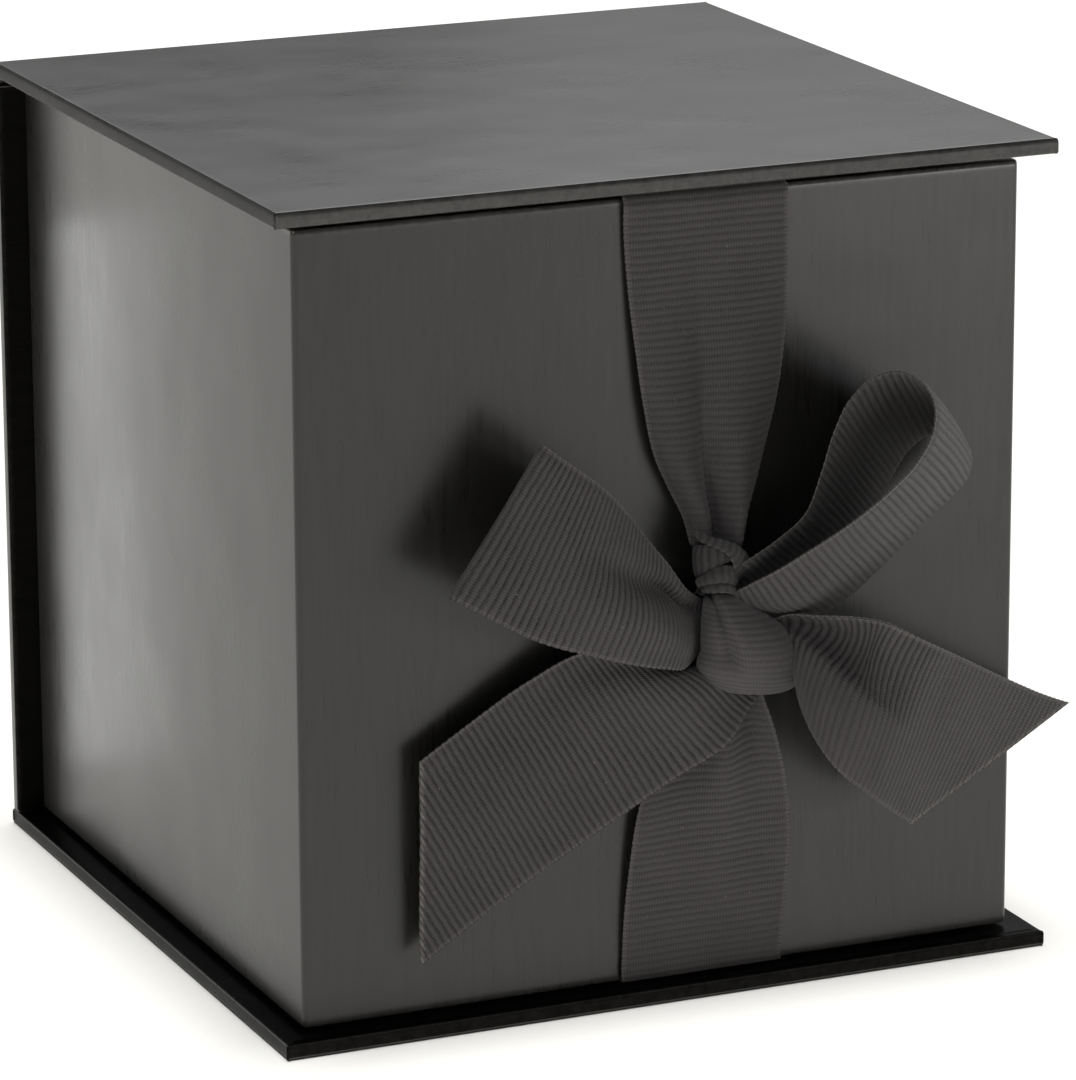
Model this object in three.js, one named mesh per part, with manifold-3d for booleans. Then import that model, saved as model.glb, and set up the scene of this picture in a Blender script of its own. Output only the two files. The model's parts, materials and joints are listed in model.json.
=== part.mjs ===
// Rigid hinged-lid gift box with a ribbon bow, in millimetres, +Z up.
// X runs along the front, Y runs from the front to the spine, and the origin is the centre of the
// base board's underside. The box is a wrapped three-board case (base, spine, lid) with a wrapped
// greyboard tray glued inside it, and two ribbons tied in a bow on the tray's front.

import * as THREE from 'three';
import { mergeVertices } from 'three/addons/utils/BufferGeometryUtils.js';
import ManifoldModule from 'manifold-3d';

// ---- driving dimensions -------------------------------------------------------------------

const BOARD = 2.0;          // greyboard
const PAPER = 0.15;         // covering and lining paper
const TRAY_W = 112;         // outside of the tray along X
const TRAY_D = 112;         // outside of the tray along Y
const RIM_Z = 118.3;        // top of the tray and of the spine
const OVERHANG = 4;         // lid, base and spine stand this far outside the tray
const LID_GAP = 1.3;        // between the rim and the lid: the ribbon passes through it
const BASE_CARD = 0.6;      // mounting card between the tray and the base
const SPINE_LINING = 0.3;   // lining between the tray and the spine
const TURN_IN = 15;         // paper folded over a board's edge
const LINING_MARGIN = 3;    // lining stays this far inside a board's edge
const HINGE_CLEAR = 0.3;    // the lid's rear end stops this far short of the hinge axis
const FIT = 0.1;            // play around sheets that slide past each other

const RIBBON_W = 25.4;      // one inch grosgrain
const RIBBON_T = 0.4;
const RIBBON_X = 6.1;       // centre of the ribbon on the front
const LEAF_T = 0.6;         // loops and tails, with their ribs

// ---- derived dimensions -------------------------------------------------------------------

const CASE_T = BOARD + 2 * PAPER;
const CASE_W = TRAY_W + 2 * OVERHANG;
const CASE_D = OVERHANG + TRAY_D + SPINE_LINING + CASE_T;
const REAR_Y = CASE_D / 2;
const FRONT_Y = -CASE_D / 2 + OVERHANG;
const TRAY_Y = FRONT_Y + TRAY_D / 2;
const TRAY_Z = CASE_T + BASE_CARD;
const LID_Z = RIM_Z + LID_GAP;
const HINGE_Z = RIM_Z + LID_GAP / 2;
const FLOOR_Z = TRAY_Z + PAPER;
const WALL_Z = FLOOR_Z + BOARD;
const WALL_H = RIM_Z - PAPER - WALL_Z;
const SKIN = 2 * PAPER;     // wrap and corner stay outside a tray wall
const WALL_OUT_X = TRAY_W / 2 - SKIN;
const WALL_OUT_Y = TRAY_D / 2 - SKIN;
const WALL_IN_X = WALL_OUT_X - BOARD;
const WALL_IN_Y = WALL_OUT_Y - BOARD;

// ---- materials ----------------------------------------------------------------------------

const finish = (color, roughness) =>
  () => new THREE.MeshStandardMaterial({ color, roughness, metalness: 0 });
const coverPaper = finish(0x4b4a47, 0.55);
const liningPaper = finish(0x3a3937, 0.8);
const greyboard = finish(0x8b8780, 0.95);
const stayTape = finish(0xa89a80, 0.9);
const grosgrain = finish(0x373432, 0.85);

// ---- joining and cutting ------------------------------------------------------------------

const manifold = await ManifoldModule();
manifold.setup();

function toManifold(geometry) {
  const bare = geometry.clone();
  bare.deleteAttribute('normal');
  bare.deleteAttribute('uv');
  const merged = mergeVertices(bare, 1e-5);
  return new manifold.Manifold(new manifold.Mesh({
    numProp: 3,
    vertProperties: new Float32Array(merged.attributes.position.array),
    triVerts: new Uint32Array(merged.index.array),
  }));
}

function toGeometry(solid) {
  const mesh = solid.getMesh();
  const geometry = new THREE.BufferGeometry();
  geometry.setAttribute('position', new THREE.BufferAttribute(mesh.vertProperties, 3));
  geometry.setIndex(new THREE.BufferAttribute(mesh.triVerts, 1));
  return geometry;
}

function cut(geometry, ...tools) {
  return toGeometry(tools.reduce((left, tool) => left.subtract(toManifold(tool)),
    toManifold(geometry)));
}

// ---- shape helpers ------------------------------------------------------------------------

// A box from its lowest to its highest corner.
function slab([x0, y0, z0], [x1, y1, z1]) {
  const box = new THREE.BoxGeometry(x1 - x0, y1 - y0, z1 - z0);
  return box.translate((x0 + x1) / 2, (y0 + y1) / 2, (z0 + z1) / 2);
}

// A box centred on X = 0 and Y = y, with half sizes hx and hy.
function column(hx, hy, z0, z1, y = 0) {
  return slab([-hx, y - hy, z0], [hx, y + hy, z1]);
}

const assembly = new THREE.Group();
const body = { root: new THREE.Group(), lid: new THREE.Group() };
assembly.add(body.root, body.lid);

function add(where, name, geometry, material) {
  const mesh = new THREE.Mesh(geometry, material());
  mesh.name = name;
  body[where].add(mesh);
}

// ---- case: base, spine and lid ------------------------------------------------------------

// A board lying flat in its paper. The turn-ins leave a window on the inner side, which faces
// `inner` (+1 up, -1 down).
function flatCover(name, where, z0, rear, inner) {
  const front = -CASE_D / 2;
  const half = CASE_W / 2;
  const board = [
    [-half + PAPER, front + PAPER, z0 + PAPER],
    [half - PAPER, rear - PAPER, z0 + CASE_T - PAPER],
  ];
  const windowLow = inner > 0 ? z0 + BOARD : z0 - PAPER;
  const window = slab(
    [-half + TURN_IN, front + TURN_IN, windowLow],
    [half - TURN_IN, rear - TURN_IN, windowLow + 3 * PAPER],
  );
  const skin = slab([-half, front, z0], [half, rear, z0 + CASE_T]);
  add(where, `${name}_board`, slab(...board), greyboard);
  add(where, `${name}_wrap`, cut(skin, slab(...board), window), coverPaper);
}

function baseCover() {
  flatCover('base', 'root', 0, REAR_Y, +1);
  // The mounting card has a notch that holds the lower ribbon's end.
  const notch = { half: RIBBON_W / 2 + 0.3, depth: 21 };
  const halfW = TRAY_W / 2 - LINING_MARGIN;
  const halfD = TRAY_D / 2 - LINING_MARGIN;
  const card = new THREE.Shape();
  card.moveTo(-halfW, -halfD);
  card.lineTo(RIBBON_X - notch.half, -halfD);
  card.lineTo(RIBBON_X - notch.half, -halfD + notch.depth);
  card.lineTo(RIBBON_X + notch.half, -halfD + notch.depth);
  card.lineTo(RIBBON_X + notch.half, -halfD);
  card.lineTo(halfW, -halfD);
  card.lineTo(halfW, halfD);
  card.lineTo(-halfW, halfD);
  card.closePath();
  const plate = new THREE.ExtrudeGeometry(card, { depth: BASE_CARD, bevelEnabled: false });
  add('root', 'base_mounting_card', plate.translate(0, TRAY_Y, CASE_T), greyboard);
}

function lidCover() {
  flatCover('lid', 'lid', LID_Z, REAR_Y - HINGE_CLEAR, -1);
  const halfW = CASE_W / 2 - LINING_MARGIN;
  add('lid', 'lid_lining', slab(
    [-halfW, -CASE_D / 2 + LINING_MARGIN, LID_Z - PAPER],
    [halfW, REAR_Y - HINGE_CLEAR - LINING_MARGIN, LID_Z],
  ), liningPaper);
}

function spineCover() {
  const half = CASE_W / 2;
  const inside = REAR_Y - CASE_T;
  const board = [
    [-half + PAPER, inside + PAPER, CASE_T],
    [half - PAPER, REAR_Y - PAPER, RIM_Z],
  ];
  const skin = slab([-half, inside, CASE_T], [half, REAR_Y, RIM_Z]);
  const through = slab(
    [board[0][0], board[0][1], CASE_T - 1],
    [board[1][0], board[1][1], RIM_Z + 1],
  );
  const window = slab(
    [-half + TURN_IN, inside - 1, CASE_T - 1],
    [half - TURN_IN, inside + 1, RIM_Z + 1],
  );
  add('root', 'spine_board', slab(...board), greyboard);
  add('root', 'spine_wrap', cut(skin, through, window), coverPaper);
  const halfLining = TRAY_W / 2 - LINING_MARGIN;
  add('root', 'spine_lining', slab(
    [-halfLining, inside - SPINE_LINING, TRAY_Z + LINING_MARGIN],
    [halfLining, inside, RIM_Z - LINING_MARGIN],
  ), liningPaper);
}

// The paper that bends: it stands on the spine's outer edge and ends at the hinge axis.
function lidHinge() {
  add('root', 'lid_hinge_paper', slab(
    [-CASE_W / 2, REAR_Y - 2 * PAPER, RIM_Z],
    [CASE_W / 2, REAR_Y, HINGE_Z - FIT],
  ), coverPaper);
}

// ---- tray ---------------------------------------------------------------------------------

function trayBoards() {
  add('root', 'tray_floor_board',
    column(WALL_OUT_X, WALL_OUT_Y, FLOOR_Z, WALL_Z, TRAY_Y), greyboard);
  const top = WALL_Z + WALL_H;
  for (const [name, side] of [['front', -1], ['rear', 1]]) {
    const y = [TRAY_Y + side * WALL_IN_Y, TRAY_Y + side * WALL_OUT_Y].sort((a, b) => a - b);
    add('root', `tray_${name}_wall`,
      slab([-WALL_OUT_X, y[0], WALL_Z], [WALL_OUT_X, y[1], top]), greyboard);
  }
  for (const [name, side] of [['left', -1], ['right', 1]]) {
    const x = [side * WALL_IN_X, side * WALL_OUT_X].sort((a, b) => a - b);
    add('root', `tray_${name}_wall`,
      slab([x[0], TRAY_Y - WALL_IN_Y, WALL_Z], [x[1], TRAY_Y + WALL_IN_Y, top]), greyboard);
  }
}

// Paper tapes bent round the outside of each wall corner, under the wrap.
function cornerStays() {
  const leg = 12;
  const endGap = 6;
  const corners = { front_left: [-1, -1], front_right: [1, -1], rear_left: [-1, 1], rear_right: [1, 1] };
  for (const [name, [sx, sy]] of Object.entries(corners)) {
    const angle = new THREE.Shape();
    const outX = WALL_OUT_X + PAPER;
    const outY = WALL_OUT_Y + PAPER;
    const outline = [
      [outX, outY], [outX - leg, outY], [outX - leg, WALL_OUT_Y], [WALL_OUT_X, WALL_OUT_Y],
      [WALL_OUT_X, outY - leg], [outX, outY - leg],
    ];
    angle.setFromPoints(outline.map(([x, y]) => new THREE.Vector2(sx * x, sy * y)));
    const tape = new THREE.ExtrudeGeometry(angle,
      { depth: WALL_H - 2 * endGap, bevelEnabled: false });
    add('root', `corner_stay_${name}`, tape.translate(0, TRAY_Y, WALL_Z + endGap), stayTape);
  }
}

// One sheet: round the four walls, over the rim and down inside, and under the floor's edge.
function trayWrap() {
  const halfX = TRAY_W / 2;
  const halfY = TRAY_D / 2;
  const skin = column(halfX, halfY, TRAY_Z, RIM_Z, TRAY_Y);
  const inside = column(WALL_IN_X - PAPER, WALL_IN_Y - PAPER, WALL_Z, RIM_Z + 1, TRAY_Y);
  const belowTurnIn = column(halfX - PAPER, halfY - PAPER, FLOOR_Z, RIM_Z - TURN_IN, TRAY_Y);
  const underFloor = column(halfX - TURN_IN, halfY - TURN_IN, TRAY_Z - 1, WALL_Z, TRAY_Y);
  const walls = cut(
    column(halfX - PAPER, halfY - PAPER, FLOOR_Z + 1, RIM_Z - PAPER, TRAY_Y),
    column(WALL_IN_X, WALL_IN_Y, FLOOR_Z, RIM_Z, TRAY_Y),
  );
  add('root', 'tray_wrap', cut(skin, inside, belowTurnIn, underFloor, walls), coverPaper);
}

// The wall lining leaves the wrap's turn-in showing for a few millimetres under the rim. At the
// front it stands one ribbon thickness further in, because the upper ribbon ends behind it.
function trayLinings() {
  const halfX = WALL_IN_X - PAPER;
  const halfY = WALL_IN_Y - PAPER;
  const pocket = RIBBON_T + 2 * FIT;
  const z0 = WALL_Z + PAPER;
  const z1 = RIM_Z - 4;
  const outer = slab([-halfX, TRAY_Y - halfY + pocket, z0], [halfX, TRAY_Y + halfY, z1]);
  const hole = slab(
    [-halfX + PAPER, TRAY_Y - halfY + pocket + PAPER, z0 - 1],
    [halfX - PAPER, TRAY_Y + halfY - PAPER, z1 + 1],
  );
  add('root', 'tray_wall_lining', cut(outer, hole), liningPaper);
  add('root', 'tray_floor_lining',
    column(WALL_IN_X - 0.5, WALL_IN_Y - 0.5, WALL_Z, WALL_Z + PAPER, TRAY_Y), liningPaper);
}

// ---- ribbon -------------------------------------------------------------------------------

// A point on the front: x, how far it stands off the tray's front face, and z.
const off = (x, standoff, z) => new THREE.Vector3(x, FRONT_Y - standoff, z);

// A closed strip between two edge lines with the same number of points. It is a box whose
// cross-sections are moved to the edges; at a bend the thickness is mitred.
function strip(left, right, thickness) {
  const count = left.length - 1;
  const across = left.map((p, i) => right[i].clone().sub(p));
  const middle = left.map((p, i) => p.clone().lerp(right[i], 0.5));
  const faceNormal = (i) =>
    middle[i + 1].clone().sub(middle[i]).cross(across[i]).normalize();
  const offset = middle.map((_, i) => {
    const before = faceNormal(Math.max(i - 1, 0));
    const after = faceNormal(Math.min(i, count - 1));
    const mean = before.clone().add(after).normalize();
    return mean.multiplyScalar(thickness / 2 / Math.max(mean.dot(before), 0.5));
  });
  const geometry = new THREE.BoxGeometry(1, 1, 1, count, 1, 1);
  const position = geometry.attributes.position;
  for (let v = 0; v < position.count; v += 1) {
    const i = Math.round((position.getX(v) + 0.5) * count);
    const p = position.getY(v) > 0 ? right[i].clone() : left[i].clone();
    p.addScaledVector(offset[i], 2 * position.getZ(v));
    position.setXYZ(v, p.x, p.y, p.z);
  }
  return geometry;
}

// The same through smooth curves: both edges are sampled at `count` + 1 even steps.
function softStrip(left, right, thickness, count = 14) {
  const smooth = (points) => new THREE.CatmullRomCurve3(points).getPoints(count);
  return strip(smooth(left), smooth(right), thickness);
}

// A band lies across the front: each station gives the left and right x, the standoff and z.
function band(stations) {
  const left = stations.map(([x0, , standoff, z]) => off(x0, standoff, z));
  const right = stations.map(([, x1, standoff, z]) => off(x1, standoff, z));
  return strip(left, right, RIBBON_T);
}

function ribbonBands() {
  const x0 = RIBBON_X - RIBBON_W / 2;
  const x1 = RIBBON_X + RIBBON_W / 2;
  const half = RIBBON_T / 2;
  const insideLeg = -(SKIN + BOARD + PAPER + FIT + half);
  add('root', 'upper_ribbon', band([
    [x0, x1, insideLeg, RIM_Z - 18],
    [x0, x1, insideLeg, RIM_Z + 0.3 + half],
    [x0, x1, 0.3 + half, RIM_Z + 0.3 + half],
    [x0 + 0.4, x1 - 0.1, 0.8, 106],
    [x0 + 1.9, x1 - 0.7, 1.3, 94],
    [x0 + 3.2, x1 - 3.3, 2.1, 85],
    [x0 + 5.4, x1 - 5.2, 3.4, 78],
    [x0 + 7.4, x1 - 7.4, 5.4, 73],
  ]), grosgrain);
  add('root', 'lower_ribbon', band([
    [x0, x1, -18, CASE_T + FIT + half],
    [x0, x1, 0.3 + half, CASE_T + FIT + half],
    [x0 - 0.2, x1 - 0.2, 0.9, 10],
    [x0 + 0.3, x1 + 0.5, 1.5, 20],
    [x0 + 2, x1 - 0.6, 2.2, 30],
    [x0 + 6, x1 - 2.4, 3.2, 38],
    [x0 + 9.8, x1 - 5.6, 4.4, 45],
  ]), grosgrain);
}

function ellipsoid(centre, radii) {
  const ball = new THREE.SphereGeometry(1, 24, 16);
  return ball.scale(...radii).translate(...centre.toArray());
}

function bowKnots() {
  add('root', 'bow_knot', ellipsoid(off(8.2, 11, 55), [7.6, 6, 7.6]), grosgrain);
  add('root', 'bow_knot_collar', ellipsoid(off(5.6, 8.2, 67.3), [4.9, 4.2, 4.3]), grosgrain);
}

// Each loop is one stretch of ribbon that leaves the knot and folds back to it. Its front and
// back leaves are separate solids, so the space between them stays open.
function bowLoops() {
  add('root', 'bow_left_loop_front', softStrip(
    [off(-0.8, 11.6, 61.8), off(-6.9, 13.4, 71.2), off(-15.3, 14, 80.2), off(-23.2, 13, 86.6),
      off(-23.9, 11, 87.2)],
    [off(-0.8, 11.6, 54), off(-10, 13.4, 55), off(-24.5, 14, 59.4), off(-37.4, 13, 66.6),
      off(-38.2, 11, 67.2)],
    LEAF_T,
  ), grosgrain);
  add('root', 'bow_left_loop_back', softStrip(
    [off(-0.8, 9.6, 61.8), off(-6.9, 8.8, 71.2), off(-15.3, 8, 80.2), off(-23.2, 8.2, 86.6),
      off(-23.9, 9.9, 87.2)],
    [off(-0.8, 9.6, 54.6), off(-10, 8.9, 55.6), off(-24.5, 8, 60), off(-37.4, 8.2, 66.8),
      off(-38.2, 9.9, 67.2)],
    LEAF_T,
  ), grosgrain);
  add('root', 'bow_right_loop_front', softStrip(
    [off(9.6, 14.6, 64.8), off(13.7, 18.6, 69), off(20.4, 24, 76), off(26.4, 26, 81),
      off(30.4, 24.6, 86.4), off(31, 22.4, 90)],
    [off(17.4, 7.4, 58.6), off(23.4, 6.6, 58.8), off(32, 6, 63), off(39.6, 6.6, 70.4),
      off(44.4, 7, 74.4), off(45.8, 6.4, 76.6)],
    LEAF_T,
  ), grosgrain);
  add('root', 'bow_right_loop_back', softStrip(
    [off(12.2, 11.4, 69), off(16.4, 12.2, 73), off(18.2, 14, 80), off(20.8, 16, 89.4),
      off(25.8, 18, 93.4), off(30.2, 21, 91.6)],
    [off(18.2, 5.6, 64), off(24.2, 4.6, 65.6), off(29.6, 3.2, 69), off(34.6, 2.6, 75.4),
      off(39.4, 2.8, 79.8), off(43.4, 3.6, 80)],
    LEAF_T,
  ), grosgrain);
}

function bowTails() {
  add('root', 'bow_left_tail', softStrip(
    [off(1.1, 8, 50), off(-7.5, 7, 53.4), off(-15, 6, 54.8), off(-27, 4.6, 49.2),
      off(-39.7, 4, 41.4)],
    [off(11.5, 7.6, 46), off(6, 7.2, 38.6), off(-5.4, 6, 32.2), off(-22, 4.4, 22.4),
      off(-39.3, 4, 10.6)],
    LEAF_T,
  ), grosgrain);
  add('root', 'bow_right_tail', softStrip(
    [off(17, 9.4, 56.6), off(25.4, 16.4, 57.2), off(33, 16.4, 53.8), off(45, 11.6, 47),
      off(59, 5.4, 39.4)],
    [off(17.2, 9.4, 48), off(18.6, 13.2, 39), off(23.4, 14.4, 32.6), off(29.6, 11.6, 28.2),
      off(35.6, 9.4, 24.2)],
    LEAF_T,
  ), grosgrain);
}

baseCover();
spineCover();
lidCover();
lidHinge();
trayBoards();
cornerStays();
trayWrap();
trayLinings();
ribbonBands();
bowKnots();
bowLoops();
bowTails();

export default assembly;
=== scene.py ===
"""Looks of the hinged-lid gift box: covering paper, linings and grosgrain bow."""

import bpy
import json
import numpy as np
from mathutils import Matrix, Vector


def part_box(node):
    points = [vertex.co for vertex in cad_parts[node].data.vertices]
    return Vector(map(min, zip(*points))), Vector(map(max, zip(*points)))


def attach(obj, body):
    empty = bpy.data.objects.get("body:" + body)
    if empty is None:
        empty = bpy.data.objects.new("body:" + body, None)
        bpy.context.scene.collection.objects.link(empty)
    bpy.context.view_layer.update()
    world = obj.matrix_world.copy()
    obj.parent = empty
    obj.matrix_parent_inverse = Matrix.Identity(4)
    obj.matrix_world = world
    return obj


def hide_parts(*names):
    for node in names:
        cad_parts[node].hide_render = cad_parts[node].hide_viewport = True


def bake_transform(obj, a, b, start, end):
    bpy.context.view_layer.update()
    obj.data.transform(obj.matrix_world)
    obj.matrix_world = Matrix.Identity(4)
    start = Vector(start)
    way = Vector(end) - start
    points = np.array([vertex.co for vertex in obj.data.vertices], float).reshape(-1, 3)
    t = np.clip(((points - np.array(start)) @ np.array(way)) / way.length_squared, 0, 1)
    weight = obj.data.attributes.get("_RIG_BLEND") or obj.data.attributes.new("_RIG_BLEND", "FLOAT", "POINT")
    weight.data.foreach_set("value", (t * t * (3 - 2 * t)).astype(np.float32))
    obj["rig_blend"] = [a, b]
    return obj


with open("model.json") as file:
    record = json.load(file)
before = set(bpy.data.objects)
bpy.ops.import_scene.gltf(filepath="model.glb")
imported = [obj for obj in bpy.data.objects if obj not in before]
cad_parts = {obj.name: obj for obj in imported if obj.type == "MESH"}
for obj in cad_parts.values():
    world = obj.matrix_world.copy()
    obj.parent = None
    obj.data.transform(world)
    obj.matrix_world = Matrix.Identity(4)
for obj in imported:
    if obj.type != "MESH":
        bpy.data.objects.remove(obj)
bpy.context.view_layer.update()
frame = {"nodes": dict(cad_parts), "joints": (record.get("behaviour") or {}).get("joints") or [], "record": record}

import json
from math import cos, pi, radians, sin

import bmesh
import bpy
import numpy as np
from mathutils import Matrix, Vector

MM = 0.001

# ---- camera ----


def place_camera():
    """A long lens, from the front left and a little above."""
    azimuth, elevation, roll = (radians(a) for a in (23.57, 15.477, -0.245))
    distance, target = 0.9221, Vector((0.003826, -0.001684, 0.054251))
    forward = Vector((cos(elevation) * sin(azimuth),
                      cos(elevation) * cos(azimuth), -sin(elevation)))
    level = Vector((cos(azimuth), -sin(azimuth), 0))
    upright = level.cross(forward)
    right = cos(roll) * level + sin(roll) * upright
    up = right.cross(forward)
    data = bpy.data.cameras.new("camera")
    data.lens = 204.1
    data.clip_start, data.clip_end = 0.05, 50
    camera = bpy.data.objects.new("camera", data)
    turn = Matrix((right, up, -forward)).transposed().to_4x4()
    camera.matrix_world = Matrix.Translation(target - distance * forward) @ turn
    bpy.context.scene.collection.objects.link(camera)
    bpy.context.scene.camera = camera


place_camera()

# ---- sizes, in millimetres ----


def box_mm(node):
    """Lowest and highest corner of a CAD node, in millimetres."""
    low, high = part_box(node)
    return np.array(low) / MM, np.array(high) / MM


BASE = box_mm("base_wrap")
SPINE = box_mm("spine_wrap")
LID = box_mm("lid_wrap")
TRAY = box_mm("tray_wrap")
WALL = box_mm("tray_front_wall")
HINGE = np.array(frame["joints"][0]["pos_m"]) / MM

PAPER = 0.15  # thickness of the covering paper
TURN_IN = 15.0  # width of the paper folded over onto a board's inner side
FRONT = TRAY[0][1]  # the tray's front face
RIM = TRAY[1][2]  # the top of the tray's walls
BOARD = WALL[1][1] - WALL[0][1]

RIBBON_W = 25.4  # one inch
RIB_PITCH = 1.08
RIB_STEPS = 6  # rows of vertices in each rib
RIB_H = 0.27  # a rib's height over the groove, on each side
WEB = 0.06  # half the ribbon's thickness in a groove
UV_MM = 100  # the ribbon's UVs are millimetres divided by this

# ---- materials ----


class Nodes:
    """A node tree with one Principled shader, and short calls to add to it."""

    def __init__(self, name, **sockets):
        self.material = bpy.data.materials.new(name)
        self.material.use_nodes = True
        self.tree = self.material.node_tree
        self.shader = self.tree.nodes["Principled BSDF"]
        self.fill(self.shader, **sockets)

    def add(self, kind, **values):
        """A new shader node, with its properties set."""
        node = self.tree.nodes.new("ShaderNode" + kind)
        for key, value in values.items():
            setattr(node, key, value)
        return node

    def link(self, source, target):
        self.tree.links.new(source, target)

    def feed(self, value, socket):
        """Gives a socket a number, a colour or what another socket says."""
        if isinstance(value, (int, float)):
            socket.default_value = value
        elif isinstance(value, tuple):
            socket.default_value = (*value, 1.0)
        else:
            self.link(value, socket)

    def fill(self, node, **values):
        """Feeds a node's inputs by name, with _ for a space. Gives the node."""
        for key, value in values.items():
            self.feed(value, node.inputs[key.replace("_", " ")])
        return node

    def noise(self, where, scale, detail=2.0, roughness=0.5):
        node = self.fill(self.add("TexNoise"), Vector=where, Scale=scale, Detail=detail,
                         Roughness=roughness)
        return node.outputs["Fac"]

    def spread(self, value, low, high, to_low=0.0, to_high=1.0):
        """`value` stretched so that `low` to `high` becomes `to_low` to `to_high`, and clamped."""
        node = self.fill(self.add("MapRange"), Value=value, From_Min=low, From_Max=high,
                         To_Min=to_low, To_Max=to_high)
        return node.outputs["Result"]

    def math(self, operation, a, b):
        node = self.add("Math", operation=operation)
        self.feed(a, node.inputs[0])
        self.feed(b, node.inputs[1])
        return node.outputs[0]

    def mix(self, factor, a, b):
        """From colour `a` at factor 0 to colour `b` at factor 1."""
        node = self.add("Mix", data_type="RGBA")
        for index, value in ((0, factor), (6, a), (7, b)):
            self.feed(value, node.inputs[index])
        return node.outputs[2]

    def bump(self, height, distance, strength, under=None):
        """A normal from `height`, on top of the bumps of `under`. `distance` is in metres."""
        node = self.fill(self.add("Bump"), Height=height, Distance=distance, Strength=strength)
        if under is not None:
            self.link(under, node.inputs["Normal"])
        return node.outputs["Normal"]

    def finish(self, color=None, roughness=None, normal=None):
        """Links the results to the shader, and gives the material."""
        for value, key in ((color, "Base Color"), (roughness, "Roughness"), (normal, "Normal")):
            if value is not None:
                self.link(value, self.shader.inputs[key])
        return self.material


def scaled(nodes, where, factor):
    """Coordinates multiplied by one number."""
    scale = nodes.fill(nodes.add("VectorMath", operation="SCALE"), Scale=factor)
    nodes.link(where, scale.inputs[0])
    return scale.outputs[0]


def object_mm(nodes):
    """Object coordinates, in millimetres."""
    return scaled(nodes, nodes.add("TexCoord").outputs["Object"], 1 / MM)


def cover_paper(name, grain, laid, shade=1.0, specular=0.5, ior=1.5):
    """Satin charcoal paper: a fine grain drawn out along one axis, soft blotches, and paler folds
    and edges, rubbed and partly a painted highlight. `grain` scales the coordinates, `laid` is the
    grain's strength, and `shade` scales the colour, below 1 for a darker copy that paints shade."""
    nodes = Nodes(name, IOR=ior, Specular_IOR_Level=specular)
    where = object_mm(nodes)
    drawn = nodes.add("VectorMath", operation="MULTIPLY")
    drawn.inputs[1].default_value = grain
    nodes.link(where, drawn.inputs[0])
    streak = nodes.noise(drawn.outputs[0], 1.0, 3.0, 0.55)
    fibre = nodes.noise(where, 4.5, 2.0, 0.6)
    blotch = nodes.noise(where, 0.05, 3.0, 0.5)

    def tint(*color):
        return tuple(shade * value for value in color)

    tone = nodes.mix(nodes.spread(blotch, 0.3, 0.7), tint(0.0155, 0.0148, 0.0136),
                     tint(0.0190, 0.0181, 0.0165))
    tone = nodes.mix(nodes.spread(fibre, 0.35, 0.7, 0.0, 0.35), tone, tint(0.030, 0.029, 0.0265))
    tone = nodes.mix(nodes.spread(streak, 0.36, 0.64, 0.0, laid), tone, tint(0.044, 0.042, 0.038))
    # paler where this mark is high: rubbed paper, and partly a painted highlight on edges and folds
    wear_and_highlight = nodes.add("Attribute", attribute_name="wear_and_highlight").outputs["Fac"]
    scuffs = nodes.spread(nodes.noise(where, 0.9, 4.0, 0.7), 0.35, 0.75)
    rubbed_and_lit = nodes.math("MULTIPLY", wear_and_highlight, scuffs)
    tone = nodes.mix(nodes.math("MULTIPLY", rubbed_and_lit, 0.6), tone, tint(0.085, 0.082, 0.076))
    gloss = nodes.math("ADD", nodes.spread(streak, 0.3, 0.7, 0.27, 0.31),
                       nodes.spread(blotch, 0.3, 0.7, -0.02, 0.03))
    height = nodes.math("ADD", streak, nodes.math("MULTIPLY", fibre, 0.12))
    wave = nodes.bump(nodes.noise(where, 0.06, 1.0, 0.4), 0.9 * MM, 0.22)
    return nodes.finish(tone, gloss, nodes.bump(height, laid * 0.016 * MM, 0.8, wave))


def lining_paper():
    """Matt charcoal paper with short pale fibres."""
    nodes = Nodes("lining_paper", IOR=1.45)
    where = object_mm(nodes)
    fibre = nodes.noise(where, 2.5, 4.0, 0.65)
    blotch = nodes.noise(where, 0.07, 2.0)
    tone = nodes.mix(nodes.spread(blotch, 0.3, 0.7), (0.026, 0.025, 0.023), (0.033, 0.032, 0.029))
    tone = nodes.mix(nodes.spread(fibre, 0.5, 0.75, 0.0, 0.4), tone, (0.055, 0.053, 0.048))
    rough = nodes.spread(fibre, 0.3, 0.7, 0.7, 0.85)
    return nodes.finish(tone, rough, nodes.bump(fibre, 0.05 * MM, 0.7))


def greyboard():
    """Uncoated recycled board: mottled grey pulp with dark flecks."""
    nodes = Nodes("greyboard", IOR=1.4)
    where = object_mm(nodes)
    pulp = nodes.noise(where, 1.6, 5.0, 0.7)
    fleck = nodes.noise(where, 3.2, 1.0)
    tone = nodes.mix(nodes.spread(pulp, 0.3, 0.7), (0.19, 0.18, 0.155), (0.29, 0.275, 0.245))
    tone = nodes.mix(nodes.spread(fleck, 0.66, 0.72, 0.0, 0.8), tone, (0.07, 0.065, 0.06))
    rough = nodes.spread(pulp, 0.3, 0.7, 0.85, 0.97)
    return nodes.finish(tone, rough, nodes.bump(pulp, 0.1 * MM, 0.8))


def stay_paper():
    """Brown gummed tape."""
    nodes = Nodes("stay_paper", IOR=1.4)
    where = object_mm(nodes)
    fibre = nodes.noise(where, 1.8, 5.0, 0.7)
    tone = nodes.mix(nodes.spread(fibre, 0.3, 0.7), (0.33, 0.25, 0.15), (0.46, 0.37, 0.25))
    rough = nodes.spread(fibre, 0.3, 0.7, 0.6, 0.8)
    return nodes.finish(tone, rough, nodes.bump(fibre, 0.06 * MM, 0.7))


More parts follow.
